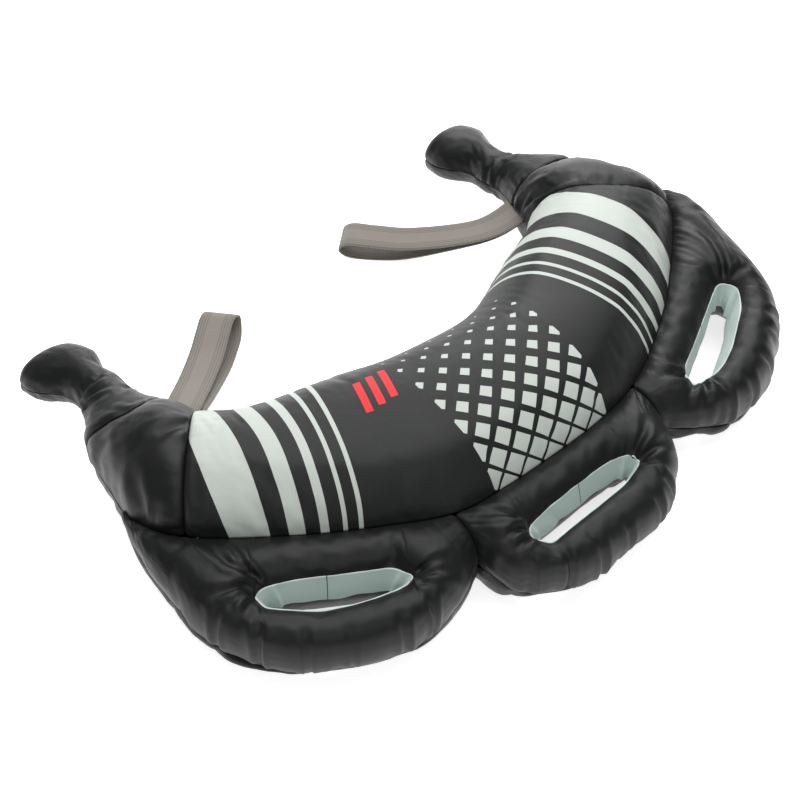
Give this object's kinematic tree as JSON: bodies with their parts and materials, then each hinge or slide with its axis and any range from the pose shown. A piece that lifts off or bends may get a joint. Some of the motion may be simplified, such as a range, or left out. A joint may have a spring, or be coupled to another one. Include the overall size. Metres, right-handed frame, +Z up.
{
  "type": "bulgarian bag",
  "caption": "Crescent-shaped sand-filled training bag with flared end grips, padded outer lobes pierced by hand slots, and webbing loops at the inner edge",
  "frame": {"origin": "on the surface that the bag lies on, under the centre of its outline", "axes": "+X to the bag's right-hand grip, seen from above with the grips pointing away; +Y towards the ends of the grips; +Z up"},
  "size_m": [0.6002, 0.4574, 0.1149],
  "materials": {
    "coated_cloth": "black coated nylon, semi-matte with a soft sheen",
    "lining_cloth": "pale grey-green coated cloth, smooth",
    "webbing": "warm grey woven webbing, matte",
    "wadding": "off-white polyester wadding, matte",
    "pouch_cloth": "plain grey inner cloth filled with sand"
  },
  "bodies": {
    "bag": {"top_panel": "coated_cloth", "bottom_panel": "coated_cloth", "wadding_top": "wadding", "wadding_bottom": "wadding", "sand_pouch_left": "pouch_cloth", "sand_pouch_middle": "pouch_cloth", "sand_pouch_right": "pouch_cloth", "lobe_left_top": "coated_cloth", "lobe_left_bottom": "coated_cloth", "lobe_middle_top": "coated_cloth", "lobe_middle_bottom": "coated_cloth", "lobe_right_top": "coated_cloth", "lobe_right_bottom": "coated_cloth", "lobe_padding_left": "wadding", "slot_lining_left": "lining_cloth", "lobe_padding_middle": "wadding", "slot_lining_middle": "lining_cloth", "lobe_padding_right": "wadding", "slot_lining_right": "lining_cloth", "shoulder_left_top": "coated_cloth", "shoulder_left_bottom": "coated_cloth", "shoulder_padding_left": "wadding", "grip_left_top": "coated_cloth", "grip_left_bottom": "coated_cloth", "grip_padding_left": "wadding", "shoulder_right_top": "coated_cloth", "shoulder_right_bottom": "coated_cloth", "shoulder_padding_right": "wadding", "grip_right_top": "coated_cloth", "grip_right_bottom": "coated_cloth", "grip_padding_right": "wadding"},
    "strap_left": {"strap_left": "webbing"},
    "strap_right": {"strap_right": "webbing"}
  },
  "joints": [
    {"name": "strap_left_swing", "type": "hinge", "parent": "bag", "child": "strap_left", "pos_m": [-0.1873, 0.10347, 0.0525], "axis": [0.2531, -0.9674, 0], "range_deg": [0, 95]},
    {"name": "strap_right_swing", "type": "hinge", "parent": "bag", "child": "strap_right", "pos_m": [0.1873, 0.10347, 0.0525], "axis": [0.2531, 0.9674, 0], "range_deg": [0, 95]}
  ]
}
